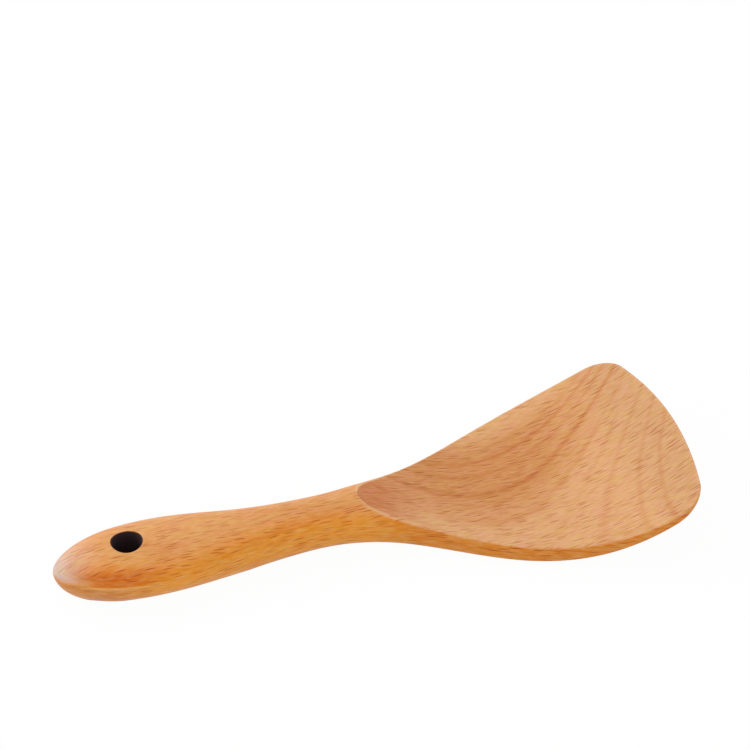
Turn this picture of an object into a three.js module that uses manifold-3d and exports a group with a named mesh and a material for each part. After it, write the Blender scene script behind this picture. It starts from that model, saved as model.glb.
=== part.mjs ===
import * as THREE from 'three';
import { mergeVertices } from 'three/addons/utils/BufferGeometryUtils.js';
import Module from 'manifold-3d';

// A flat wooden spoon, of the rice paddle kind, carved from one length of beech.
// It lies on its sole: +X runs from the butt of the handle to the end of the blade, +Z is up.
// Places along the length are measured from the butt. Millimetres.
const LENGTH = 190;

// Plan: full widths, and where along the length they lie
const HANDLE_WIDTH = 26.2;
const HANDLE_WIDEST_AT = 29;
const NECK_WIDTH = 14.6;
const NECK_AT = 75.4;
const BLADE_WIDTH = 75;
const CORNER_RADIUS = 10.3;
const END_RADIUS = 128;

// Plan: how far the outline holds its direction before it bends away
const BUTT_HOLD = 6.6;
const PALM_HOLD_TO_BUTT = 15.2;
const PALM_HOLD_TO_NECK = 16.7;
const NECK_HOLD_TO_PALM = 23.1;
const NECK_HOLD_TO_BLADE = 39.6;
const BLADE_HOLD_TO_NECK = 47.8;

// Side view of the handle: the top slopes a little to the shoulder, where the blade's hollow begins
const SHOULDER_AT = 90.8;
const TOP_AT_BUTT = 16.2;
const TOP_AT_SHOULDER = 15.5;
const BUTT_ROUND_LENGTH = 17.4;
const BUTT_ROUND_POWER = 1.85;
const BUTT_POINT_HEIGHT = 9.25;

// Side view of the underside: flat sole, low arch under the neck, heel, then an arc up to the end
const SOLE_WIDTH = 9;
const ARCH_AT = 46;
const ARCH_HEIGHT = 2.1;
const HEEL_AT = 131.5;
const BELLY_RADIUS = 93.5;

// The blade's hollow: an arc along the length, and a shallow dish across it
const HOLLOW_LOWEST_AT = 134.5;
const HOLLOW_LOWEST_HEIGHT = 5.6;
const DISH_DEPTH = 1.2;

// Cross-sections: where the side stands upright, and how square the rounded quarters are
const UPRIGHT_SHARE = 0.575;
const TOP_POWER = 2.04;
const SOLE_POWER = 2.06;
const BELLY_POWER = 5.1;

const HOLE_DIAMETER = 8.9;
const HOLE_AT = 21.8;

// Steps of the faceted surface
const BUTT_STEPS = 9;
const PALM_STEPS = 9;
const SHOULDER_STEPS = 3;
const FLARE_STEPS = 18;
const FLARE_GATHER = 1.7;
const CORNER_STEPS = 6;
const END_STEPS = 8;
const SIDE_STEPS = 6;
const DISH_STEPS = 7;
const SOLE_STEPS = 7;
const HOLE_SIDES = 32;
const HALVINGS = 40;

const BEECH = 0xd89a5c;
const BEECH_ROUGHNESS = 0.5;

const wasm = await Module();
wasm.setup();

const handleHalf = HANDLE_WIDTH / 2;
const neckHalf = NECK_WIDTH / 2;
const bladeHalf = BLADE_WIDTH / 2;
const hollowDrop = TOP_AT_SHOULDER - HOLLOW_LOWEST_HEIGHT;
const hollowRun = HOLLOW_LOWEST_AT - SHOULDER_AT;
const hollowRadius = (hollowRun ** 2 + hollowDrop ** 2) / (2 * hollowDrop);

// The corner's arc meets the side where the blade is widest, and runs into the end's arc
const widestAt = LENGTH - END_RADIUS
  + Math.sqrt((END_RADIUS - CORNER_RADIUS) ** 2 - (bladeHalf - CORNER_RADIUS) ** 2);
const cornerTurn = Math.atan2(bladeHalf - CORNER_RADIUS, widestAt - LENGTH + END_RADIUS);

const at = (x, y) => new THREE.Vector2(x, y);
const buttCurve = new THREE.CubicBezierCurve(
  at(0, 0),
  at(0, BUTT_HOLD),
  at(HANDLE_WIDEST_AT - PALM_HOLD_TO_BUTT, handleHalf),
  at(HANDLE_WIDEST_AT, handleHalf),
);
const palmCurve = new THREE.CubicBezierCurve(
  at(HANDLE_WIDEST_AT, handleHalf),
  at(HANDLE_WIDEST_AT + PALM_HOLD_TO_NECK, handleHalf),
  at(NECK_AT - NECK_HOLD_TO_PALM, neckHalf),
  at(NECK_AT, neckHalf),
);
const flareCurve = new THREE.CubicBezierCurve(
  at(NECK_AT, neckHalf),
  at(NECK_AT + NECK_HOLD_TO_BLADE, neckHalf),
  at(widestAt - BLADE_HOLD_TO_NECK, bladeHalf),
  at(widestAt, bladeHalf),
);
const cornerCurve = new THREE.EllipseCurve(
  widestAt, bladeHalf - CORNER_RADIUS, CORNER_RADIUS, CORNER_RADIUS, Math.PI / 2, cornerTurn, true,
);
const endCurve = new THREE.EllipseCurve(
  LENGTH - END_RADIUS, 0, END_RADIUS, END_RADIUS, cornerTurn, 0, true,
);

// Between low, where the test holds, and high, where it doesn't, the place where it changes
function turningPoint(test, low, high) {
  let from = low;
  let to = high;
  for (let step = 0; step < HALVINGS; step += 1) {
    const middle = (from + to) / 2;
    if (test(middle)) from = middle;
    else to = middle;
  }
  return to;
}

const shoulderShare = turningPoint((t) => flareCurve.getPoint(t).x < SHOULDER_AT, 0, 1);

// Points along a curve; a gather over 1 draws them together at its start
function stretch(curve, steps, from = 0, to = 1, gather = 1) {
  const points = [];
  for (let step = 1; step <= steps; step += 1) {
    points.push(curve.getPoint(from + (to - from) * (step / steps) ** gather));
  }
  return points;
}

// The arc along the bottom of the hollow
function hollowHeight(x) {
  const away = x - HOLLOW_LOWEST_AT;
  return HOLLOW_LOWEST_HEIGHT + hollowRadius - Math.sqrt(hollowRadius ** 2 - away ** 2);
}

// The top of the bar that the hollow is cut from
function barTop(x) {
  const line = TOP_AT_BUTT + (TOP_AT_SHOULDER - TOP_AT_BUTT) * Math.min(x / SHOULDER_AT, 1);
  return x > HOLLOW_LOWEST_AT ? line + hollowHeight(x) - HOLLOW_LOWEST_HEIGHT : line;
}

function barBottom(x) {
  const arch = THREE.MathUtils.clamp((x - ARCH_AT) / (HEEL_AT - ARCH_AT), 0, 1);
  const past = Math.max(x - HEEL_AT, 0);
  return ARCH_HEIGHT * Math.sin(Math.PI * arch) ** 2
    + BELLY_RADIUS - Math.sqrt(BELLY_RADIUS ** 2 - past ** 2);
}

// The hollowed face: dished most halfway along the blade, level across at its two ends
function faceHeight(x, y, half) {
  const along = (x - SHOULDER_AT) / (LENGTH - SHOULDER_AT);
  const reach = x > widestAt ? bladeHalf : half;
  return hollowHeight(x) + DISH_DEPTH * 4 * along * (1 - along) * (y / reach) ** 2;
}

function section({ x, y: half }) {
  const near = THREE.MathUtils.clamp(1 - x / BUTT_ROUND_LENGTH, 0, 1);
  const round = (1 - near ** BUTT_ROUND_POWER) ** (1 / BUTT_ROUND_POWER);
  const top = BUTT_POINT_HEIGHT + (barTop(x) - BUTT_POINT_HEIGHT) * round;
  const bottom = BUTT_POINT_HEIGHT + (barBottom(x) - BUTT_POINT_HEIGHT) * round;
  const hollowed = x > SHOULDER_AT;
  const rim = hollowed ? Math.min(top, faceHeight(x, half, half)) : top;
  const upright = bottom + UPRIGHT_SHARE * (rim - bottom);
  const toHeel = THREE.MathUtils.smoothstep(x, NECK_AT, HEEL_AT);
  const lowerPower = THREE.MathUtils.lerp(SOLE_POWER, BELLY_POWER, toHeel);
  const flat = Math.min(SOLE_WIDTH / 2, half / 2);
  return { x, half, top, bottom, hollowed, upright, lowerPower, flat };
}

// The bar's upper quarter: turn 0 is the upright side, a right angle is the middle of the top
function upperPoint(s, turn) {
  const across = s.half * Math.max(Math.cos(turn), 0) ** (2 / TOP_POWER);
  const up = s.upright + (s.top - s.upright) * Math.sin(turn) ** (2 / TOP_POWER);
  return new THREE.Vector3(s.x, turn < Math.PI / 2 ? across : 0, up);
}

function lowerPoint(s, turn) {
  const across = s.flat + (s.half - s.flat) * Math.max(Math.cos(turn), 0) ** (2 / s.lowerPower);
  const down = s.upright - (s.upright - s.bottom) * Math.sin(turn) ** (2 / s.lowerPower);
  return new THREE.Vector3(s.x, across, down);
}

// One closed ring of the surface, from the middle of the top over the +Y side and back round
function ring(station, dishSteps) {
  const s = section(station);
  const outside = (turn) => {
    const p = upperPoint(s, turn);
    return p.z < faceHeight(p.x, p.y, s.half);
  };
  const edgeTurn = s.hollowed ? turningPoint(outside, 0, Math.PI / 2) : Math.PI / 2;
  const edge = upperPoint(s, edgeTurn);
  const side = [];
  for (let step = 0; step < dishSteps; step += 1) {
    const across = edge.y * step / dishSteps;
    const up = s.hollowed ? faceHeight(s.x, across, s.half) : edge.z;
    side.push(new THREE.Vector3(s.x, across, up));
  }
  for (let step = SIDE_STEPS; step > 0; step -= 1) side.push(upperPoint(s, edgeTurn * step / SIDE_STEPS));
  for (let step = 0; step <= SOLE_STEPS; step += 1) side.push(lowerPoint(s, Math.PI / 2 * step / SOLE_STEPS));
  const other = side.filter((p, index) => index > 0 || p.y > 0).reverse();
  return [...side, ...other.map((p) => new THREE.Vector3(p.x, -p.y, p.z))];
}

// Skins a row of rings and closes its two ends; places where a ring narrows to a point or a line close up
function skin(rings) {
  const count = rings[0].length;
  const vertices = rings.flat();
  const faces = [];
  for (let row = 0; row + 1 < rings.length; row += 1) {
    for (let index = 0; index < count; index += 1) {
      const a = row * count + index;
      const b = row * count + (index + 1) % count;
      faces.push([a, a + count, b], [b, a + count, b + count]);
    }
  }
  const last = (rings.length - 1) * count;
  for (let index = 1; index + 1 < count; index += 1) {
    faces.push([0, index, index + 1], [last, last + index + 1, last + index]);
  }
  const flat = faces.filter(([a, b, c]) => {
    const [p, q, r] = [vertices[a], vertices[b], vertices[c]];
    return !p.equals(q) && !q.equals(r) && !r.equals(p);
  });
  const geometry = new THREE.BufferGeometry();
  geometry.setFromPoints(flat.flat().map((index) => vertices[index]));
  return geometry;
}

function toSolid(geometry) {
  const bare = geometry.clone();
  bare.deleteAttribute('normal');
  bare.deleteAttribute('uv');
  const merged = mergeVertices(bare);
  return new wasm.Manifold(new wasm.Mesh({
    numProp: 3,
    vertProperties: new Float32Array(merged.attributes.position.array),
    triVerts: new Uint32Array(merged.index.array),
  }));
}

function toGeometry(solid) {
  const mesh = solid.getMesh();
  const geometry = new THREE.BufferGeometry();
  geometry.setAttribute('position', new THREE.BufferAttribute(mesh.vertProperties, 3));
  geometry.setIndex(new THREE.BufferAttribute(mesh.triVerts, 1));
  geometry.computeVertexNormals();
  return geometry;
}

// Handle: from the rounded butt to the shoulder, with the hole it hangs by
const handleStations = [
  buttCurve.getPoint(0),
  ...stretch(buttCurve, BUTT_STEPS),
  ...stretch(palmCurve, PALM_STEPS),
  ...stretch(flareCurve, SHOULDER_STEPS, 0, shoulderShare),
];
const shoulder = handleStations.at(-1);
shoulder.x = SHOULDER_AT;
const handleBody = skin(handleStations.map((station) => ring(station, 0)));
const holeCutter = new THREE.CylinderGeometry(HOLE_DIAMETER / 2, HOLE_DIAMETER / 2, 2 * TOP_AT_BUTT, HOLE_SIDES);
holeCutter.rotateX(Math.PI / 2);
holeCutter.translate(HOLE_AT, 0, TOP_AT_BUTT / 2);
const handle = new THREE.Mesh(
  toGeometry(toSolid(handleBody).subtract(toSolid(holeCutter))),
  new THREE.MeshStandardMaterial({ color: BEECH, roughness: BEECH_ROUGHNESS, metalness: 0 }),
);
handle.name = 'handle';

// Blade: the same wood runs on from the shoulder, widens, and curves up to its thin end
const bladeStations = [
  shoulder,
  ...stretch(flareCurve, FLARE_STEPS, shoulderShare, 1, FLARE_GATHER),
  ...stretch(cornerCurve, CORNER_STEPS),
  ...stretch(endCurve, END_STEPS),
];
bladeStations.at(-1).y = 0;
const blade = new THREE.Mesh(
  toGeometry(toSolid(skin(bladeStations.map((station) => ring(station, DISH_STEPS))))),
  new THREE.MeshStandardMaterial({ color: BEECH, roughness: BEECH_ROUGHNESS, metalness: 0 }),
);
blade.name = 'blade';

const spoon = new THREE.Group();
spoon.add(handle, blade);
spoon.position.x = -LENGTH / 2;

export default spoon;
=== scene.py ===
import math

import bpy
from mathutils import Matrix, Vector


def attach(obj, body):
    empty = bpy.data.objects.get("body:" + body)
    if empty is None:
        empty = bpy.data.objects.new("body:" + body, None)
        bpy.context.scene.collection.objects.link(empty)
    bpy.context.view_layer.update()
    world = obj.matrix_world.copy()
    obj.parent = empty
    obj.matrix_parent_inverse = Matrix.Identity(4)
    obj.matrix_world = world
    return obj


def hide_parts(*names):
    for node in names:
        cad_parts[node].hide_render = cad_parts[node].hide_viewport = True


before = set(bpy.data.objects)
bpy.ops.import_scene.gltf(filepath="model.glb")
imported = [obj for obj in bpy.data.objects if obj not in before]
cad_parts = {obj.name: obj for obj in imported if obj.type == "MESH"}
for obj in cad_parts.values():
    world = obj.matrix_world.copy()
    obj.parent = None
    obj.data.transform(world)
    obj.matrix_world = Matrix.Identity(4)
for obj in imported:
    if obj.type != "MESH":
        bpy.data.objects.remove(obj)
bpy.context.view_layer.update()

# The blank in plan: a palm-wide handle, a slim neck and a blade that flares to a broad end. It is bandsawn
# from one beech board, so each side is one smooth line, and the two sides mirror each other.
# Its shape is given in millimetres, with places along the spoon measured from the butt of the handle.
LENGTH = 190.0
HANDLE_HALF = 13.1
HANDLE_WIDEST_AT = 29.0
NECK_HALF = 7.3
NECK_AT = 75.4
BLADE_HALF = 37.5
CORNER_RADIUS = 10.3
END_RADIUS = 128.0
BUTT_HOLD = 6.6
PALM_HOLD_TO_BUTT = 15.2
PALM_HOLD_TO_NECK = 16.7
NECK_HOLD_TO_PALM = 23.1
NECK_HOLD_TO_BLADE = 39.6
BLADE_HOLD_TO_NECK = 47.8
HALVINGS = 44

corner_in = BLADE_HALF - CORNER_RADIUS
end_centre = LENGTH - END_RADIUS
widest_at = end_centre + math.sqrt((END_RADIUS - CORNER_RADIUS) ** 2 - corner_in ** 2)
corner_turn = math.atan2(corner_in, widest_at - end_centre)
butt_line = [(0, 0), (0, BUTT_HOLD),
             (HANDLE_WIDEST_AT - PALM_HOLD_TO_BUTT, HANDLE_HALF), (HANDLE_WIDEST_AT, HANDLE_HALF)]
palm_line = [(HANDLE_WIDEST_AT, HANDLE_HALF), (HANDLE_WIDEST_AT + PALM_HOLD_TO_NECK, HANDLE_HALF),
             (NECK_AT - NECK_HOLD_TO_PALM, NECK_HALF), (NECK_AT, NECK_HALF)]
flare_line = [(NECK_AT, NECK_HALF), (NECK_AT + NECK_HOLD_TO_BLADE, NECK_HALF),
              (widest_at - BLADE_HOLD_TO_NECK, BLADE_HALF), (widest_at, BLADE_HALF)]


def bezier(line, t):
    a, b, c, d = line
    s = 1 - t
    return [s ** 3 * a[k] + 3 * s * s * t * b[k] + 3 * s * t * t * c[k] + t ** 3 * d[k] for k in (0, 1)]


def bezier_inward(line, t):
    """The unit vector across the line at t, pointing in over the wood."""
    a, b, c, d = line
    s = 1 - t
    along, out = [s * s * (b[k] - a[k]) + 2 * s * t * (c[k] - b[k]) + t * t * (d[k] - c[k]) for k in (0, 1)]
    return out / math.hypot(along, out), -along / math.hypot(along, out)


def halve(test, low, high):
    """The place between low and high where the test stops being true."""
    for _ in range(HALVINGS):
        middle = (low + high) / 2
        if test(middle):
            low = middle
        else:
            high = middle
    return high


def share_at(line, x):
    return halve(lambda t: bezier(line, t)[0] < x, 0.0, 1.0)


def half_at(x):
    """Half of the blank's width at x; past its widest place the blade counts as full width."""
    if x >= widest_at:
        return BLADE_HALF
    line = butt_line if x < HANDLE_WIDEST_AT else palm_line if x < NECK_AT else flare_line
    return bezier(line, share_at(line, x))[1]


# The side view: the handle's top runs almost level, the sole is planed flat with a low arch under the neck,
# and past the heel the belly curves up to the thin end. Cross-sections are rounded with a spokeshave and
# sandpaper: soft ovals in the handle, flat with round edges in the blade.
TOP_AT_BUTT = 16.2
TOP_AT_SHOULDER = 15.5
BUTT_ROUND_LENGTH = 17.4
BUTT_ROUND_POWER = 1.85
BUTT_POINT_HEIGHT = 9.25
UNDER_ROUND_LENGTH = 15.0
UNDER_ROUND_POWER = 1.9
RIDGE_POWER = 1.45
RIDGE_FADES_AT = 8.0
RIDGE_ENDS_AT = 19.0
SOLE_HALF = 4.5
ARCH_AT = 46.0
ARCH_HEIGHT = 2.1
HEEL_AT = 131.5
BELLY_RADIUS = 93.5
UPRIGHT_SHARE = 0.575
TOP_POWER = 2.04
SOLE_POWER = 2.06
BELLY_POWER = 5.1
SHOULDER_AT = 90.8
HOLLOW_LOWEST_AT = 134.5
HOLLOW_LOWEST_HEIGHT = 5.6
DISH_DEPTH = 1.2

hollow_drop = TOP_AT_SHOULDER - HOLLOW_LOWEST_HEIGHT
hollow_radius = ((HOLLOW_LOWEST_AT - SHOULDER_AT) ** 2 + hollow_drop ** 2) / (2 * hollow_drop)


def clamp(value, low=0.0, high=1.0):
    return max(low, min(high, value))


def smoothstep(value):
    value = clamp(value)
    return value * value * (3 - 2 * value)


def hollow_height(x):
    return HOLLOW_LOWEST_HEIGHT + hollow_radius - math.sqrt(hollow_radius ** 2 - (x - HOLLOW_LOWEST_AT) ** 2)


def face_height(x, y):
    """The blade's hollowed face: an arc along the spoon, and a shallow dish across it, deepest halfway."""
    along = (x - SHOULDER_AT) / (LENGTH - SHOULDER_AT)
    return hollow_height(x) + DISH_DEPTH * 4 * along * (1 - along) * (y / half_at(x)) ** 2


def bar_top(x):
    line = TOP_AT_BUTT + (TOP_AT_SHOULDER - TOP_AT_BUTT) * min(x / SHOULDER_AT, 1)
    return line + (hollow_height(x) - HOLLOW_LOWEST_HEIGHT if x > HOLLOW_LOWEST_AT else 0)


def bar_bottom(x):
    arch = clamp((x - ARCH_AT) / (HEEL_AT - ARCH_AT))
    past = max(x - HEEL_AT, 0)
    belly = BELLY_RADIUS - math.sqrt(BELLY_RADIUS ** 2 - past ** 2)
    return ARCH_HEIGHT * math.sin(math.pi * arch) ** 2 + belly


def butt_opening(x, length, power):
    """How far the butt's rounding has opened at x: 0 at the butt's point and 1 from that length on."""
    return (1 - clamp(1 - x / length) ** power) ** (1 / power)


class Section:
    """The carved bar's cross-section at one place: an upper and a lower rounded quarter on each side."""

    def __init__(self, x):
        self.x = x
        self.half = half_at(x)
        over = butt_opening(x, BUTT_ROUND_LENGTH, BUTT_ROUND_POWER)
        self.top = BUTT_POINT_HEIGHT + (bar_top(x) - BUTT_POINT_HEIGHT) * over
        under = butt_opening(x, UNDER_ROUND_LENGTH, UNDER_ROUND_POWER)
        self.bottom = BUTT_POINT_HEIGHT + (bar_bottom(x) - BUTT_POINT_HEIGHT) * under
        self.hollowed = x > SHOULDER_AT
        rim = min(self.top, face_height(x, self.half)) if self.hollowed else self.top
        self.upright = self.bottom + UPRIGHT_SHARE * (rim - self.bottom)
        self.power = SOLE_POWER + (BELLY_POWER - SOLE_POWER) * smoothstep((x - NECK_AT) / (HEEL_AT - NECK_AT))
        ridged = smoothstep((RIDGE_ENDS_AT - x) / (RIDGE_ENDS_AT - RIDGE_FADES_AT))
        self.power += (RIDGE_POWER - self.power) * ridged
        self.flat = min(SOLE_HALF, self.half / 2)

    def top_at(self, y):
        share = clamp(abs(y) / self.half)
        return self.upright + (self.top - self.upright) * (1 - share ** TOP_POWER) ** (1 / TOP_POWER)

    def upper(self, turn):
        """Distance in from the outline, and height, on the upper quarter; turn is 0 at the widest place."""
        inward = self.half * (1 - max(math.cos(turn), 0.0) ** (2 / TOP_POWER))
        return inward, self.upright + (self.top - self.upright) * math.sin(turn) ** (2 / TOP_POWER)

    def bottom_at(self, x, share):
        """Height of the underside at x; the share is 0 at the flat sole and 1 at the outline."""
        lift = 1 - (1 - clamp(share) ** self.power) ** (1 / self.power)
        return self.bottom + bar_bottom(x) - bar_bottom(self.x) + (self.upright - self.bottom) * lift


# The skin of the one carved piece of beech: rows round the bar from the butt to the end, with columns over
# the top, down the side and under the sole. Past the shoulder the top is the hollowed face, milled with a
# drum, and its edge against the side is broken with sandpaper, under a millimetre round.
EDGE_ROUND = 0.8
EDGE_ROUND_ACROSS = 0.3
EDGE_DROP = 0.7
EDGE_SHARE = 0.7
HANDLE_EDGE_SHARE = 0.9
TOP_SHARE = 0.66
TOP_CLOSES_FROM = 48.0
TOP_CLOSED = 1e-5
SOLE_EDGE = 6.0
FACE_COLUMNS = 22
EDGE_COLUMNS = 5
SIDE_COLUMNS = 14
LOWER_COLUMNS = 16
BUTT_ROWS = 40
PALM_ROWS = 56
NECK_ROWS = 24
BLADE_ROWS = 110
CORNER_ROWS = 22
SHOULDER_GATHER = 1.85
SHOULDER_GAP = 0.0002


def top_reach(x, half):
    """Half width of the top's columns on the handle; they close at the shoulder, where the hollow starts."""
    closing = clamp((x - TOP_CLOSES_FROM) / (SHOULDER_AT - TOP_CLOSES_FROM))
    return TOP_SHARE * half * math.sqrt(max(1 - closing ** 2, TOP_CLOSED))


def sole_share(s):
    """Where the sole's first column lies between its flat and the outline, as a share of that width."""
    return (max(TOP_SHARE * s.half, s.half - SOLE_EDGE) - s.flat) / (s.half - s.flat)


def wall(foot_x, foot_y, inward_x, inward_y):
    """Points down the side at one place of the outline, from the top's last column to the sole's first."""
    s = Section(foot_x)

    def place(inward):
        return foot_x + inward * inward_x, foot_y + inward * inward_y

    points = []
    if s.hollowed:
        def below_face(turn):
            inward, height = s.upper(turn)
            return height < face_height(*place(inward))

        edge_turn = halve(below_face, 0.0, math.pi / 2)
        edge_in, edge_height = s.upper(edge_turn)
        rim_half = foot_y + edge_in * inward_y
        reach = min(EDGE_ROUND, EDGE_ROUND_ACROSS * rim_half) if foot_x < widest_at else EDGE_ROUND
        inner = place(edge_in + reach)
        drop = min(EDGE_DROP, reach, EDGE_SHARE * (edge_height - s.upright))
        side_turn = halve(lambda turn: s.upper(turn)[1] < edge_height - drop, 0.0, edge_turn)
        outer_in, outer_height = s.upper(side_turn)
        arm_a = (*inner, face_height(*inner))
        arm_b = (*place(edge_in), edge_height)
        arm_c = (*place(outer_in), outer_height)
        for k in range(EDGE_COLUMNS + 1):
            t = k / EDGE_COLUMNS
            points.append(tuple((1 - t) ** 2 * a + 2 * t * (1 - t) * b + t * t * c
                                for a, b, c in zip(arm_a, arm_b, arm_c)))
    else:
        edge_turn = math.acos((top_reach(foot_x, s.half) / s.half) ** (TOP_POWER / 2))
        side_turn = HANDLE_EDGE_SHARE * edge_turn
        for k in range(EDGE_COLUMNS + 1):
            inward, height = s.upper(edge_turn + (side_turn - edge_turn) * k / EDGE_COLUMNS)
            points.append((*place(inward), height))
    for k in range(1, SIDE_COLUMNS + 1):
        inward, height = s.upper(side_turn * (1 - k / SIDE_COLUMNS))
        points.append((*place(inward), height))
    last_turn = math.acos(sole_share(s) ** (s.power / 2))
    for k in range(1, LOWER_COLUMNS + 1):
        share = math.cos(last_turn * k / LOWER_COLUMNS) ** (2 / s.power)
        x, y = place((s.half - s.flat) * (1 - share))
        points.append((x, y, s.bottom_at(x, share)))
    return points


def end_bow(y):
    return END_RADIUS - math.sqrt(END_RADIUS ** 2 - y * y)


def half_row(x, half, inward_x, inward_y):
    """One row on the +Y side: over the top from the middle, down the wall, and back under the sole."""
    turn_in = smoothstep((x - HEEL_AT) / (widest_at - HEEL_AT))
    size = math.hypot(turn_in * inward_x, inward_y)
    side = wall(x, half, turn_in * inward_x / size, inward_y / size)
    bow = smoothstep((x - SHOULDER_AT) / (widest_at - SHOULDER_AT))
    s = Section(x)
    rim_x, rim_y, _ = side[0]
    top = []
    for k in range(FACE_COLUMNS):
        y = rim_y * k / FACE_COLUMNS
        top_x = rim_x + bow * (end_bow(rim_y) - end_bow(y))
        top.append((top_x, y, face_height(top_x, y) if s.hollowed else s.top_at(y)))
    low_x, low_y, _ = side[-1]
    sole = []
    for k in range(1, FACE_COLUMNS + 1):
        y = low_y * (1 - k / FACE_COLUMNS)
        sole_x = low_x + bow * (end_bow(low_y) - end_bow(y))
        sole.append((sole_x, y, s.bottom_at(sole_x, sole_share(s) * (y - s.flat) / (low_y - s.flat))))
    return top + side + sole


def steps(low, high, count, gather=1.0):
    """Shares after low up to high; a gather over 1 crowds them at low."""
    return [low + (high - low) * (k / count) ** gather for k in range(1, count + 1)]


shoulder_share = share_at(flare_line, SHOULDER_AT)
to_neck = steps(SHOULDER_GAP, shoulder_share, NECK_ROWS, SHOULDER_GATHER)[:-1]
to_end = steps(0.0, 1 - shoulder_share, BLADE_ROWS, SHOULDER_GATHER)
flare_shares = [shoulder_share - s for s in reversed(to_neck)] + [shoulder_share + s for s in to_end]
half_rows = []
for line, shares in ((butt_line, steps(0, 1, BUTT_ROWS)), (palm_line, steps(0, 1, PALM_ROWS)),
                     (flare_line, flare_shares)):
    half_rows += [half_row(*bezier(line, t), *bezier_inward(line, t)) for t in shares]
for turn in steps(math.pi / 2, corner_turn, CORNER_ROWS)[:-1]:
    along, out = math.cos(turn), math.sin(turn)
    half_rows.append(half_row(widest_at + CORNER_RADIUS * along, corner_in + CORNER_RADIUS * out,
                              -along, -out))
end_walls = []
for k in range(FACE_COLUMNS + 1):
    turn = corner_turn * k / FACE_COLUMNS
    along, out = math.cos(turn), math.sin(turn)
    end_walls.append(wall(end_centre + END_RADIUS * along, END_RADIUS * out, -along, -out))
inner_walls = end_walls[:-1]
half_rows.append([w[0] for w in inner_walls] + end_walls[-1] + [w[-1] for w in reversed(inner_walls)])

last_row = len(half_rows) - 1
sole_middle = len(half_rows[0]) - 1
columns = 2 * sole_middle
vertices = []
for row in half_rows:
    vertices += row + [(x, -y, z) for x, y, z in reversed(row[1:-1])]
faces = []

# The hanging hole: bored through the palm with a blunt, hot bit, which scorched its wall, and both rims are
# slightly rounded. The wall's near black is partly that scorch and partly painted shade. It takes a hook or a
# cord.
HOLE_AT = 21.8
HOLE_RADIUS = 4.45
HOLE_RIM_ROUND = 0.3
HOLE_CLEAR = 8.4
HOLE_LOOPS = 8
RIM_STEPS = 4
WALL_STEPS = 10

row_places = [row[0][0] for row in half_rows]
hole_from = min(k for k, x in enumerate(row_places) if x > HOLE_AT - HOLE_CLEAR)
hole_to = max(k for k, x in enumerate(row_places) if x < HOLE_AT + HOLE_CLEAR)
for row in range(last_row):
    for column in range(columns):
        in_top = min(column, columns - 1 - column) < FACE_COLUMNS
        in_sole = sole_middle - FACE_COLUMNS <= column < sole_middle + FACE_COLUMNS
        if (in_top or in_sole) and hole_from <= row < hole_to:
            continue
        beside = (column + 1) % columns
        faces.append((row * columns + column, (row + 1) * columns + column,
                      (row + 1) * columns + beside, row * columns + beside))


def top_vertex(row, column):
    return row * columns + column % columns


def sole_vertex(row, column):
    return row * columns + sole_middle - column


def border(vertex):
    """The grid points round the hole's place, in order, as seen by top_vertex or sole_vertex."""
    wide = range(-FACE_COLUMNS, FACE_COLUMNS + 1)
    loop = [vertex(hole_from, k) for k in wide]
    loop += [vertex(row, FACE_COLUMNS) for row in range(hole_from + 1, hole_to)]
    loop += [vertex(hole_to, k) for k in reversed(wide)]
    loop += [vertex(row, -FACE_COLUMNS) for row in range(hole_to - 1, hole_from, -1)]
    return loop


def palm_height(x, y, is_top):
    s = Section(x)
    return s.top_at(y) if is_top else s.bottom_at(x, (abs(y) - s.flat) / (s.half - s.flat))


def hole_loops(is_top):
    """Rings of points from the grid's border in over the palm, and then round the rim."""
    starts = [vertices[v] for v in border(top_vertex)]
    turns = [math.atan2(y, x - HOLE_AT) for x, y, _ in starts]
    open_radius = HOLE_RADIUS + HOLE_RIM_ROUND
    lips = [(HOLE_AT + open_radius * math.cos(a), open_radius * math.sin(a)) for a in turns]
    loops = []
    for k in range(1, HOLE_LOOPS + 1):
        plan = [(x + (lip_x - x) * k / HOLE_LOOPS, y + (lip_y - y) * k / HOLE_LOOPS)
                for (x, y, _), (lip_x, lip_y) in zip(starts, lips)]
        loops.append([(x, y, palm_height(x, y, is_top)) for x, y in plan])
    lip_heights = [z for _, _, z in loops[-1]]
    for k in range(1, RIM_STEPS + 1):
        bend = math.pi / 2 * k / RIM_STEPS
        radius = open_radius - HOLE_RIM_ROUND * math.sin(bend)
        drop = HOLE_RIM_ROUND * (1 - math.cos(bend)) * (1 if is_top else -1)
        loops.append([(HOLE_AT + radius * math.cos(a), radius * math.sin(a), z - drop)
                      for a, z in zip(turns, lip_heights)])
    return loops


top_loops = hole_loops(True)
sole_loops = list(reversed(hole_loops(False)))
wall_loops = []
for k in range(1, WALL_STEPS):
    wall_loops.append([(x, y, z + (low_z - z) * k / WALL_STEPS)
                       for (x, y, z), (_, _, low_z) in zip(top_loops[-1], sole_loops[0])])
chain = [border(top_vertex)]
for loop in top_loops + wall_loops + sole_loops:
    chain.append(list(range(len(vertices), len(vertices) + len(loop))))
    vertices += loop
chain.append(border(sole_vertex))
for outer, inner in zip(chain, chain[1:]):
    for k in range(len(outer)):
        after = (k + 1) % len(outer)
        faces.append((outer[k], inner[k], inner[after], outer[after]))

# The two ends close the skin. The butt is sanded round to one blunt point, and the blade's end is a thin wall
# like the one along its sides, with the same small rounding of its edge. The skin is then one closed mesh,
# and marks the hollowed face, which takes the oil differently.
MM = 0.001

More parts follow.
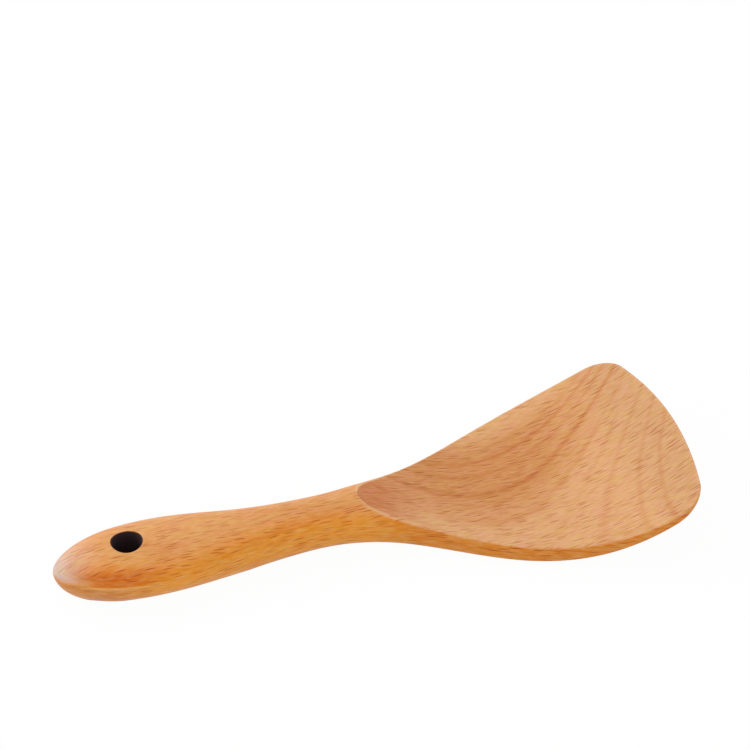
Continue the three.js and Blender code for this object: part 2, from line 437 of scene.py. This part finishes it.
vertices.append((0.0, 0.0, BUTT_POINT_HEIGHT))
for column in range(columns):
    faces.append((len(vertices) - 1, column, (column + 1) % columns))
levels = len(end_walls[0]) - 1
end_grid = {}
for k in range(-FACE_COLUMNS, FACE_COLUMNS + 1):
    for level, (x, y, z) in enumerate(end_walls[abs(k)]):
        if level == 0:
            end_grid[k, level] = top_vertex(last_row, k)
        elif level == levels:
            end_grid[k, level] = sole_vertex(last_row, k)
        elif abs(k) == FACE_COLUMNS:
            end_grid[k, level] = top_vertex(last_row, k + level if k > 0 else k - level)
        else:
            end_grid[k, level] = len(vertices)
            vertices.append((x, math.copysign(y, k), z))
for k in range(-FACE_COLUMNS, FACE_COLUMNS):
    for level in range(levels):
        faces.append((end_grid[k, level], end_grid[k, level + 1],
                      end_grid[k + 1, level + 1], end_grid[k + 1, level]))

mesh = bpy.data.meshes.new("spoon_body")
mesh.from_pydata([((x - LENGTH / 2) * MM, y * MM, z * MM) for x, y, z in vertices], [], faces)
mesh.shade_smooth()
milled = mesh.attributes.new("milled", "FLOAT", "POINT")
for row, points in enumerate(half_rows):
    for column in range(columns if points[0][0] > SHOULDER_AT else 0):
        past_face = min(column, columns - column) - FACE_COLUMNS
        milled.data[row * columns + column].value = clamp(1 - past_face / EDGE_COLUMNS)
for (_, level), vertex in end_grid.items():
    milled.data[vertex].value = clamp(1 - level / EDGE_COLUMNS)
body = bpy.data.objects.new("spoon_body", mesh)
bpy.context.scene.collection.objects.link(body)
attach(body, "root")
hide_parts("handle", "blade")

# Beech, flat-sawn, sanded fine and oiled. It gives the eye a pinkish tan on the hollowed face; the rounded
# handle and the walls drink more oil and turn orange, deepest where steep, and the orange there is partly
# painted warm bounce light. The lighter tan of the underside is painted light from the paper below.
# Where the hollow dips from the shoulder it is darker, partly end grain and partly painted shade of the slope
# turned from the lamps, and where the end rises towards the lamps it is painted a touch darker. The butt's
# top and the rim's edge carry painted highlights.
BEECH_FACE = "E1AC7B"
BEECH_BY_SLOPE = ((-0.95, "E0A468"), (-0.55, "E89E35"), (0.1, "E49A31"), (0.5, "E4931D"), (0.74, "E79637"),
                  (0.86, "E79C4C"), (0.98, "E0A161"))
FACING_DOWN = -1.0
FACING_UP = 1.0
WALL_TINT = "EEE0D4"
WALL_FROM = -6.0
WALL_FULL = 14.0
DIP_SHADE_TINT = "ECC5A5"
DIP_FROM = 0.2
DIP_FULL = 0.38
DIP_ACROSS = ((5.0, 1.0), (14.0, 0.3))
RISE_SHADE_TINT = "F2F2EE"
RISE_FROM = -0.3
RISE_FULL = -0.48
HIGHLIGHT_TONE = "EFC9A0"
EDGE_HIGHLIGHT_SHARE = 0.35
EDGE_PEAK = 0.25
BUTT_HIGHLIGHT_TONE = "CFBFC0"
BUTT_HIGHLIGHT_SHARE = 0.85
BUTT_FROM = -79.0
BUTT_FULL = -93.5
BUTT_GATHER = 2.0
BUTT_SLOPES = (-0.15, 0.5)


def linear(colour):
    parts = [int(colour[k:k + 2], 16) / 255 for k in (0, 2, 4)]
    return tuple(p / 12.92 if p <= 0.04045 else ((p + 0.055) / 1.055) ** 2.4 for p in parts) + (1.0,)


def add(tree, kind, links, **settings):
    """Adds a node. A link is a node, a socket or a constant; a node stands for its first output."""
    node = tree.nodes.new(kind)
    for name, value in settings.items():
        setattr(node, name, value)
    for socket, value in links.items():
        if isinstance(value, bpy.types.Node):
            value = value.outputs[0]
        if isinstance(value, bpy.types.NodeSocket):
            tree.links.new(value, node.inputs[socket])
        else:
            node.inputs[socket].default_value = value
    return node


beech = bpy.data.materials.new("oiled_beech")
beech.use_nodes = True
beech.node_tree.nodes.clear()
wood = beech.node_tree
# Colours are placed in millimetres too, but along the spoon from its middle, where the frame's origin is.
spot = add(wood, "ShaderNodeTexCoord", {})
mm = add(wood, "ShaderNodeVectorMath", {0: spot.outputs["Object"], "Scale": 1 / MM}, operation="SCALE")
axes = add(wood, "ShaderNodeSeparateXYZ", {0: mm})
facing = add(wood, "ShaderNodeSeparateXYZ", {0: spot.outputs["Normal"]})
# The colour by slope is partly painted light: warm bounce on the steep sides and light from the paper on the
# underside.
slope = add(wood, "ShaderNodeMapRange", {"Value": facing.outputs["Z"], 1: FACING_DOWN, 2: FACING_UP})
by_slope = add(wood, "ShaderNodeValToRGB", {0: slope})
stops = by_slope.color_ramp.elements
stop_places = [(level - FACING_DOWN) / (FACING_UP - FACING_DOWN) for level, _ in BEECH_BY_SLOPE]
for stop_place in stop_places[1:-1]:
    stops.new(stop_place)
for stop, stop_place, (_, colour) in zip(stops, stop_places, BEECH_BY_SLOPE):
    stop.position = stop_place
    stop.color = linear(colour)
on_wall = add(wood, "ShaderNodeMapRange", {"Value": axes.outputs["X"], 1: WALL_FROM, 2: WALL_FULL},
              interpolation_type="SMOOTHSTEP")
ground = add(wood, "ShaderNodeMixRGB", {0: on_wall, 1: by_slope, 2: linear(WALL_TINT)}, blend_type="MULTIPLY")
hollowed = add(wood, "ShaderNodeAttribute", {}, attribute_name="milled").outputs["Fac"]
unmilled = add(wood, "ShaderNodeMath", {0: 1.0, 1: hollowed}, operation="SUBTRACT")
# Painted shade, with the end grain: darker where the hollow's slope turns away from the lamps.
dips = add(wood, "ShaderNodeMapRange", {"Value": facing.outputs["X"], 1: DIP_FROM, 2: DIP_FULL},
           interpolation_type="SMOOTHSTEP")
aside = add(wood, "ShaderNodeMath", {0: axes.outputs["Y"]}, operation="ABSOLUTE")
(dip_middle, dip_most), (dip_side, dip_least) = DIP_ACROSS
dip_share = add(wood, "ShaderNodeMapRange",
                {"Value": aside, 1: dip_middle, 2: dip_side, 3: dip_most, 4: dip_least})
dips = add(wood, "ShaderNodeMath", {0: dips, 1: dip_share}, operation="MULTIPLY")
face = add(wood, "ShaderNodeMixRGB", {0: dips, 1: linear(BEECH_FACE), 2: linear(DIP_SHADE_TINT)},
           blend_type="MULTIPLY")
# Painted shade: the end's rising face, turned to the lamps, is toned a touch darker.
rises = add(wood, "ShaderNodeMapRange", {"Value": facing.outputs["X"], 1: RISE_FROM, 2: RISE_FULL},
            interpolation_type="SMOOTHSTEP")
face = add(wood, "ShaderNodeMixRGB", {0: rises, 1: face, 2: linear(RISE_SHADE_TINT)}, blend_type="MULTIPLY")
ground = add(wood, "ShaderNodeMixRGB", {0: hollowed, 1: ground, 2: face})
# Hollowed times unmilled is most, a quarter, halfway round the edge, so the painted highlight lies there.
edge_highlight = add(wood, "ShaderNodeMath", {0: unmilled, 1: hollowed}, operation="MULTIPLY")
edge_highlight = add(wood, "ShaderNodeMath", {0: edge_highlight, 1: EDGE_HIGHLIGHT_SHARE / EDGE_PEAK}, operation="MULTIPLY")
ground = add(wood, "ShaderNodeMixRGB", {0: edge_highlight, 1: ground, 2: linear(HIGHLIGHT_TONE)})
# Painted highlight: the top of the butt's end is mixed towards a pale pinkish white.
butt_highlight = add(wood, "ShaderNodeMapRange", {"Value": axes.outputs["X"], 1: BUTT_FROM, 2: BUTT_FULL})
butt_highlight = add(wood, "ShaderNodeMath", {0: butt_highlight, 1: BUTT_GATHER}, operation="POWER")
on_top = add(wood, "ShaderNodeMapRange",
             {"Value": facing.outputs["Z"], 1: BUTT_SLOPES[0], 2: BUTT_SLOPES[1], 4: BUTT_HIGHLIGHT_SHARE},
             interpolation_type="SMOOTHSTEP")
butt_highlight = add(wood, "ShaderNodeMath", {0: butt_highlight, 1: on_top}, operation="MULTIPLY")
ground = add(wood, "ShaderNodeMixRGB", {0: butt_highlight, 1: ground, 2: linear(BUTT_HIGHLIGHT_TONE)})

# The butt's sides: a darker band of painted shade runs along the palm, down to the soft ridge that sanding
# left low on the side. The ridge's crest carries a painted highlight, and the bevel under it is painted
# shade, a browner tone.
BUTT_SHADE_TINT = "EEC670"
BUTT_SHADE_ALONG = ((-60.0, -77.0), (-91.0, -83.0))
BUTT_SHADE_SLOPES = ((0.0, 0.15), (0.94, 0.68))
BEVEL_SHADE_TONE = "A8603F"
BEVEL_STRENGTH = 0.4
BEVEL_SLOPES = ((0.02, -0.08), (-1.0, -0.9))
BEVEL_FROM = -66.0
BEVEL_FULL = -80.0
CREST_HIGHLIGHT = 0.2
CREST_SLOPES = ((0.12, 0.03), (-0.14, -0.05))
beside_butt = []
for reached, measure in ((BUTT_SHADE_ALONG, axes.outputs["X"]), (BUTT_SHADE_SLOPES, facing.outputs["Z"]),
                         (BEVEL_SLOPES, facing.outputs["Z"]), (CREST_SLOPES, facing.outputs["Z"])):
    ends = [add(wood, "ShaderNodeMapRange", {"Value": measure, 1: none, 2: full},
                interpolation_type="SMOOTHSTEP")
            for none, full in reached]
    beside_butt.append(add(wood, "ShaderNodeMath", {0: ends[0], 1: ends[1]}, operation="MULTIPLY"))
along_butt, steep_butt, on_bevel, on_crest = beside_butt
# Painted shade: a darker orange band along the palm's side, above the ridge.
butt_shade = add(wood, "ShaderNodeMath", {0: along_butt, 1: steep_butt}, operation="MULTIPLY")
ground = add(wood, "ShaderNodeMixRGB", {0: butt_shade, 1: ground, 2: linear(BUTT_SHADE_TINT)}, blend_type="MULTIPLY")
# Painted shade: the bevel facing down under the ridge is mixed towards a darker brown.
bevel_shade = add(wood, "ShaderNodeMapRange",
            {"Value": axes.outputs["X"], 1: BEVEL_FROM, 2: BEVEL_FULL, 4: BEVEL_STRENGTH})
bevel_shade = add(wood, "ShaderNodeMath", {0: bevel_shade, 1: on_bevel}, operation="MULTIPLY")
ground = add(wood, "ShaderNodeMixRGB", {0: bevel_shade, 1: ground, 2: linear(BEVEL_SHADE_TONE)})
# Painted highlight along the ridge's crest.
crest = add(wood, "ShaderNodeMath", {0: along_butt, 1: on_crest}, operation="MULTIPLY")
crest = add(wood, "ShaderNodeMath", {0: crest, 1: CREST_HIGHLIGHT}, operation="MULTIPLY")
ground = add(wood, "ShaderNodeMixRGB", {0: crest, 1: ground, 2: linear(HIGHLIGHT_TONE)})

# Growth layers: the tree's heart lay above the board and to one side, and the trunk bowed a little, so the
# hollow cuts the years into open arcs that run together at one corner. A run of poor years left a browner
# layer along the middle of the hollow, and each year ends in a thin darker line of late wood.
HEART_ABOVE = 101.3
HEART_ASIDE = -33.3
GRAIN_RISE = 0.0152
GRAIN_BOW = -0.0006
POOR_YEARS_AT = 103.6
POOR_YEARS_CORE = 3.0
POOR_YEARS_REACH = 9.0
POOR_YEARS_TINT = "EAD0AA"
POOR_YEARS_FADE = ((55.0, 0.84), (86.0, 0.06))
POOR_YEARS_RISE = ((5.0, 0.36), (20.0, 1.0))
LATE_WOOD = ((83.5, 0.6), (87.0, 0.5), (91.1, 0.45), (94.3, 0.25), (97.2, 0.5), (100.9, 1.0), (103.9, 0.6),
             (106.3, 0.8), (108.2, 0.35))
LATE_HALF = 0.8
LATE_TINT = "F4E0CA"
WAVER = 0.7
WAVER_LENGTH = 30.0
WAVER_WIDTH = 12.0
WAVER_DETAIL = 1.0
NOISE_MIDDLE = 0.5
from_heart = add(wood, "ShaderNodeVectorMath", {0: mm, 1: (0.0, -HEART_ASIDE, -HEART_ABOVE)}, operation="ADD")
from_heart = add(wood, "ShaderNodeVectorMath", {0: from_heart, 1: (0.0, 1.0, 1.0)}, operation="MULTIPLY")
from_heart = add(wood, "ShaderNodeVectorMath", {0: from_heart}, operation="LENGTH")
lean = add(wood, "ShaderNodeMath", {0: axes.outputs["X"], 1: GRAIN_BOW, 2: GRAIN_RISE},
           operation="MULTIPLY_ADD")
layer = add(wood, "ShaderNodeMath", {0: axes.outputs["X"], 1: lean, 2: from_heart.outputs["Value"]},
            operation="MULTIPLY_ADD")
waver_place = add(wood, "ShaderNodeVectorMath",
                  {0: mm, 1: (1 / WAVER_LENGTH, 1 / WAVER_WIDTH, 1 / WAVER_WIDTH)}, operation="MULTIPLY")
waver = add(wood, "ShaderNodeTexNoise", {"Vector": waver_place, "Scale": 1.0, "Detail": WAVER_DETAIL})
waver = add(wood, "ShaderNodeMath", {0: waver, 1: NOISE_MIDDLE}, operation="SUBTRACT")
layer = add(wood, "ShaderNodeMath", {0: waver, 1: WAVER, 2: layer}, operation="MULTIPLY_ADD")
from_poor = add(wood, "ShaderNodeMath", {0: layer, 1: POOR_YEARS_AT}, operation="SUBTRACT")
from_poor = add(wood, "ShaderNodeMath", {0: from_poor}, operation="ABSOLUTE")
poor = add(wood, "ShaderNodeMapRange", {"Value": from_poor, 1: POOR_YEARS_REACH, 2: POOR_YEARS_CORE},
           interpolation_type="SMOOTHSTEP")
for (start, start_share), (end, end_share) in (POOR_YEARS_RISE, POOR_YEARS_FADE):
    share = add(wood, "ShaderNodeMapRange",
                {"Value": axes.outputs["X"], 1: start, 2: end, 3: start_share, 4: end_share})
    poor = add(wood, "ShaderNodeMath", {0: poor, 1: share}, operation="MULTIPLY")
poor = add(wood, "ShaderNodeMath", {0: poor, 1: hollowed}, operation="MULTIPLY")
ground = add(wood, "ShaderNodeMixRGB", {0: poor, 1: ground, 2: linear(POOR_YEARS_TINT)},
             blend_type="MULTIPLY")
late = None
for year, depth in LATE_WOOD:
    from_year = add(wood, "ShaderNodeMath", {0: layer, 1: year}, operation="SUBTRACT")
    from_year = add(wood, "ShaderNodeMath", {0: from_year}, operation="ABSOLUTE")
    year_line = add(wood, "ShaderNodeMapRange", {"Value": from_year, 1: LATE_HALF, 2: 0.0, 4: depth},
                    interpolation_type="SMOOTHSTEP")
    late = add(wood, "ShaderNodeMath", {0: late, 1: year_line}, operation="MAXIMUM") if late else year_line
ground = add(wood, "ShaderNodeMixRGB", {0: late, 1: ground, 2: linear(LATE_TINT)}, blend_type="MULTIPLY")

# Fibres and ray flecks: fine streaks and short dark dashes along the length, on soft pink and yellow clouds.
# Real ones are a tenth of a millimetre thin or less, too fine to show, so they are drawn as coarse as they
# need to be. They are laid out twice, for faces that lie flat and for steep ones, to stay thin on both.
CLOUD_LENGTH = 7.0
CLOUD_WIDTH = 1.6
CLOUD_DETAIL = 2.0
CLOUD_LEVELS = (0.35, 0.65)
CLOUD_PINK = "FFF7FF"
CLOUD_YELLOW = "FCFFEA"
PATCH_LEVELS = (0.45, 0.7)
PATCH_PALE = "E6B48C"
PATCH_STRENGTH = 0.14
FIBRE_LENGTH = 3.2
FIBRE_WIDTH = 0.4
FIBRE_DEPTH = 10.0
FIBRE_DETAIL = 2.0
FIBRE_DETAIL_SHARE = 0.6
FIBRE_DARK_LEVELS = (0.45, 0.72)
FIBRE_TINT = "E4BE78"
FIBRE_STRENGTH = 0.4
FIBRE_PALE_LEVELS = (0.5, 0.3)
FIBRE_PALE = "F0CDB0"
FIBRE_PALE_STRENGTH = 0.15
FLECK_RUN = 7.6
FLECK_APART = 0.66
FLECK_LENGTH = 4.56
FLECK_WIDTH = 0.3168
FLECK_CORE = 0.5
FLECK_LEVELS = (0.2, 0.9)
FLECK_TINT = "C6842C"
FLECK_ON_HANDLE = 0.95
FLECK_ON_FACE = 1.0
STEEP_FROM = 0.8
STEEP_FULL = 0.5
cloud_place = add(wood, "ShaderNodeVectorMath",
                  {0: mm, 1: (1 / CLOUD_LENGTH, 1 / CLOUD_WIDTH, 1 / CLOUD_WIDTH)}, operation="MULTIPLY")
cloud = add(wood, "ShaderNodeTexNoise", {"Vector": cloud_place, "Scale": 1.0, "Detail": CLOUD_DETAIL})
patch = add(wood, "ShaderNodeMapRange",
            {"Value": cloud, 1: PATCH_LEVELS[0], 2: PATCH_LEVELS[1], 4: PATCH_STRENGTH})
patch = add(wood, "ShaderNodeMath", {0: patch, 1: unmilled}, operation="MULTIPLY")
ground = add(wood, "ShaderNodeMixRGB", {0: patch, 1: ground, 2: linear(PATCH_PALE)})
cloud = add(wood, "ShaderNodeMapRange", {"Value": cloud, 1: CLOUD_LEVELS[0], 2: CLOUD_LEVELS[1]})
cloud = add(wood, "ShaderNodeMixRGB", {0: cloud, 1: linear(CLOUD_PINK), 2: linear(CLOUD_YELLOW)})
ground = add(wood, "ShaderNodeMixRGB", {0: 1.0, 1: ground, 2: cloud}, blend_type="MULTIPLY")
run = add(wood, "ShaderNodeMath", {0: axes.outputs["X"], 1: FLECK_RUN}, operation="DIVIDE")
upright = add(wood, "ShaderNodeMath", {0: facing.outputs["Z"]}, operation="ABSOLUTE")
steep = add(wood, "ShaderNodeMapRange", {"Value": upright, 1: STEEP_FROM, 2: STEEP_FULL},
            interpolation_type="SMOOTHSTEP")
# In this scale a fleck's edge lies at 1 all round the point in its cell.
fleck_scale = (2 * FLECK_RUN / FLECK_LENGTH, 2 * FLECK_APART / FLECK_WIDTH, 0.0)
fibres, flecks = [], []
for across, wide, tall in (("Y", 1.0, FIBRE_DEPTH), ("Z", FIBRE_DEPTH, 1.0)):
    fibre_place = add(wood, "ShaderNodeVectorMath",
                      {0: mm, 1: (1 / FIBRE_LENGTH, 1 / FIBRE_WIDTH / wide, 1 / FIBRE_WIDTH / tall)},
                      operation="MULTIPLY")
    fibres.append(add(wood, "ShaderNodeTexNoise",
                      {"Vector": fibre_place, "Scale": 1.0, "Detail": FIBRE_DETAIL,
                       "Roughness": FIBRE_DETAIL_SHARE}))
    apart = add(wood, "ShaderNodeMath", {0: axes.outputs[across], 1: FLECK_APART}, operation="DIVIDE")
    fleck_place = add(wood, "ShaderNodeCombineXYZ", {0: run, 1: apart, 2: 0.0})
    cells = add(wood, "ShaderNodeTexVoronoi", {"Vector": fleck_place, "Scale": 1.0}, feature="F1",
                voronoi_dimensions="2D")
    off = add(wood, "ShaderNodeVectorMath", {0: fleck_place, 1: cells.outputs["Position"]},
              operation="SUBTRACT")
    off = add(wood, "ShaderNodeVectorMath", {0: off, 1: fleck_scale}, operation="MULTIPLY")
    off = add(wood, "ShaderNodeVectorMath", {0: off}, operation="LENGTH")
    dash = add(wood, "ShaderNodeMapRange", {"Value": off.outputs["Value"], 1: 1.0, 2: FLECK_CORE})
    dark = add(wood, "ShaderNodeMapRange",
               {"Value": cells.outputs["Color"], 1: FLECK_LEVELS[0], 2: FLECK_LEVELS[1]})
    flecks.append(add(wood, "ShaderNodeMath", {0: dash, 1: dark}, operation="MULTIPLY"))
fibre = add(wood, "ShaderNodeMix", {0: steep, 2: fibres[0], 3: fibres[1]})
fleck = add(wood, "ShaderNodeMix", {0: steep, 2: flecks[0], 3: flecks[1]})
strength = add(wood, "ShaderNodeMapRange", {"Value": hollowed, 3: FLECK_ON_HANDLE, 4: FLECK_ON_FACE})
fleck = add(wood, "ShaderNodeMath", {0: fleck, 1: strength}, operation="MULTIPLY")
paled = add(wood, "ShaderNodeMapRange",
            {"Value": fibre, 1: FIBRE_PALE_LEVELS[0], 2: FIBRE_PALE_LEVELS[1], 4: FIBRE_PALE_STRENGTH})
ground = add(wood, "ShaderNodeMixRGB", {0: paled, 1: ground, 2: linear(FIBRE_PALE)})
streaked = add(wood, "ShaderNodeMapRange",
               {"Value": fibre, 1: FIBRE_DARK_LEVELS[0], 2: FIBRE_DARK_LEVELS[1], 4: FIBRE_STRENGTH})
ground = add(wood, "ShaderNodeMixRGB", {0: streaked, 1: ground, 2: linear(FIBRE_TINT)}, blend_type="MULTIPLY")
ground = add(wood, "ShaderNodeMixRGB", {0: fleck, 1: ground, 2: linear(FLECK_TINT)}, blend_type="MULTIPLY")

# Scorch and shade: the hot bit browned a hair's breadth of the beech round each rim and charred the wall of
# the hole, whose near black is partly painted shade of the deep hole. It gives the eye a dark spot with a
# thin brown edge.
SCORCH_BROWN = "5A1E0C"
SCORCH_AND_SHADE_BLACK = "3C2A2C"
SCORCH_OUT = 0.3
from_hole = add(wood, "ShaderNodeVectorMath", {0: mm, 1: (LENGTH / 2 - HOLE_AT, 0.0, 0.0)}, operation="ADD")
from_hole = add(wood, "ShaderNodeVectorMath", {0: from_hole, 1: (1.0, 1.0, 0.0)}, operation="MULTIPLY")
from_hole = add(wood, "ShaderNodeVectorMath", {0: from_hole}, operation="LENGTH")
mid_rim = HOLE_RADIUS + HOLE_RIM_ROUND / 2
browned = add(wood, "ShaderNodeMapRange",
              {"Value": from_hole.outputs["Value"], 1: HOLE_RADIUS + SCORCH_OUT, 2: mid_rim},
              interpolation_type="SMOOTHSTEP")
# Painted shade with the char: the wall inside the rim goes near black.
charred_and_shaded = add(wood, "ShaderNodeMapRange", {"Value": from_hole.outputs["Value"], 1: mid_rim, 2: HOLE_RADIUS},
                interpolation_type="SMOOTHSTEP")
ground = add(wood, "ShaderNodeMixRGB", {0: browned, 1: ground, 2: linear(SCORCH_BROWN)})
ground = add(wood, "ShaderNodeMixRGB", {0: charred_and_shaded, 1: ground, 2: linear(SCORCH_AND_SHADE_BLACK)})

# Finish: rubbed-in oil leaves the beech satin, a little duller along the open streaks, with a low gloss and a
# trace of sheen. The flecks stand slightly lower than the wood round them, and the charred wall is matt.
SATIN_LEVELS = (0.3, 0.7)
SATIN_ROUGHNESS = 0.36
STREAK_ROUGHNESS = 0.44
CHAR_ROUGHNESS = 0.95
OIL_IOR = 1.45
SHEEN = 0.06
SHEEN_ROUGHNESS = 0.35
GLOSS = 0.2
RELIEF = 0.0002
RELIEF_STRENGTH = 0.1
satin = add(wood, "ShaderNodeMapRange",
            {"Value": fibre, 1: SATIN_LEVELS[0], 2: SATIN_LEVELS[1], 3: SATIN_ROUGHNESS, 4: STREAK_ROUGHNESS})
satin = add(wood, "ShaderNodeMix", {0: charred_and_shaded, 2: satin, 3: CHAR_ROUGHNESS})
relief = add(wood, "ShaderNodeMath", {0: fleck, 1: fibre}, operation="ADD")
bump = add(wood, "ShaderNodeBump", {"Height": relief, "Strength": RELIEF_STRENGTH, "Distance": RELIEF},
           invert=True)
surface = add(wood, "ShaderNodeBsdfPrincipled",
              {"Base Color": ground, "Roughness": satin, "IOR": OIL_IOR, "Specular IOR Level": GLOSS,
               "Sheen Weight": SHEEN, "Sheen Roughness": SHEEN_ROUGHNESS, "Normal": bump})
add(wood, "ShaderNodeOutputMaterial", {"Surface": surface})
mesh.materials.append(beech)

# The studio: a sweep of white paper under an even white surround. A wide soft lamp stands behind on the left,
# like a window, a smaller one at the left, and a low weak one in front lifts the near side. Uncoated paper
# gives the eye plain white, with only the spoon's shadow on it.
FLOOR_HALF = 1.5
FLOOR_BELOW = 0.0001
WHITE = "FFFFFF"
BACKDROP = 1.0
PAPER_WHITE = "F4F4F4"
PAPER_GLOW = 0.97
SURROUND = 0.78
WINDOW_AT = Vector((-0.399, 0.570, 0.488))
WINDOW_SIZE = 0.6
WINDOW_POWER = 1.9
SIDE_AT = Vector((-0.689, 0.278, 0.412))
SIDE_SIZE = 0.25
SIDE_POWER = 1.3
FILL_AT = Vector((0.147, -0.832, 0.089))
FILL_SIZE = 0.6
FILL_POWER = 1.1


def shown(tree):
    """1 for rays that show the background: straight ones, and those in a gloss or through a clear piece."""
    rays = add(tree, "ShaderNodeLightPath", {})
    seen = add(tree, "ShaderNodeMath",
               {0: rays.outputs["Is Camera Ray"], 1: rays.outputs["Is Transmission Ray"]},
               operation="MAXIMUM")
    return add(tree, "ShaderNodeMath", {0: seen, 1: rays.outputs["Is Glossy Ray"]}, operation="MAXIMUM")


floor_mesh = bpy.data.meshes.new("floor")
floor_mesh.from_pydata([(-FLOOR_HALF, -FLOOR_HALF, 0), (FLOOR_HALF, -FLOOR_HALF, 0),
                        (FLOOR_HALF, FLOOR_HALF, 0), (-FLOOR_HALF, FLOOR_HALF, 0)], [], [(0, 1, 2, 3)])
floor = bpy.data.objects.new("floor", floor_mesh)
floor.location.z = -FLOOR_BELOW
bpy.context.scene.collection.objects.link(floor)

paper = bpy.data.materials.new("white_paper_sweep")
paper.use_nodes = True
paper.node_tree.nodes.clear()
sweep = paper.node_tree
glowing = add(sweep, "ShaderNodeMath", {0: shown(sweep), 1: PAPER_GLOW}, operation="MULTIPLY")
lit = add(sweep, "ShaderNodeBsdfDiffuse", {"Color": linear(PAPER_WHITE)})
glow = add(sweep, "ShaderNodeEmission", {"Color": linear(WHITE), "Strength": BACKDROP})
both = add(sweep, "ShaderNodeMixShader", {0: glowing, 1: lit, 2: glow})
add(sweep, "ShaderNodeOutputMaterial", {"Surface": both})
floor_mesh.materials.append(paper)

world = bpy.data.worlds.new("studio")
bpy.context.scene.world = world
world.use_nodes = True
world.node_tree.nodes.clear()
sky = world.node_tree
surround = add(sky, "ShaderNodeBackground", {"Color": linear(WHITE), "Strength": SURROUND})
backdrop = add(sky, "ShaderNodeBackground", {"Color": linear(WHITE), "Strength": BACKDROP})
both = add(sky, "ShaderNodeMixShader", {0: shown(sky), 1: surround, 2: backdrop})
add(sky, "ShaderNodeOutputWorld", {"Surface": both})

for name, stand, size, power in (("window_lamp", WINDOW_AT, WINDOW_SIZE, WINDOW_POWER),
                                 ("side_lamp", SIDE_AT, SIDE_SIZE, SIDE_POWER),
                                 ("fill_lamp", FILL_AT, FILL_SIZE, FILL_POWER)):
    lamp_data = bpy.data.lights.new(name, "AREA")
    lamp_data.size = size
    lamp_data.energy = power
    lamp = bpy.data.objects.new(name, lamp_data)
    lamp.location = stand
    lamp.rotation_euler = (-stand).to_track_quat("-Z", "Y").to_euler()
    bpy.context.scene.collection.objects.link(lamp)

# The camera looks down at the spoon from about 0.7 m, from its near side and a little towards the butt. Its
# long lens keeps the perspective slight, and the whole spoon is in focus.
CAMERA_AT = Vector((-0.1434, -0.4557, 0.4212))
CAMERA_LOOKS_AT = Vector((0.0244, 0.0733, 0.0))
FOCAL_LENGTH = 102.3
SENSOR_WIDTH = 36.0
camera_data = bpy.data.cameras.new("camera")
camera_data.sensor_width = SENSOR_WIDTH
camera_data.lens = FOCAL_LENGTH
camera = bpy.data.objects.new("camera", camera_data)
camera.location = CAMERA_AT
camera.rotation_euler = (CAMERA_LOOKS_AT - CAMERA_AT).to_track_quat("-Z", "Y").to_euler()
bpy.context.scene.collection.objects.link(camera)
bpy.context.scene.camera = camera
bpy.context.scene.view_settings.view_transform = "Standard"
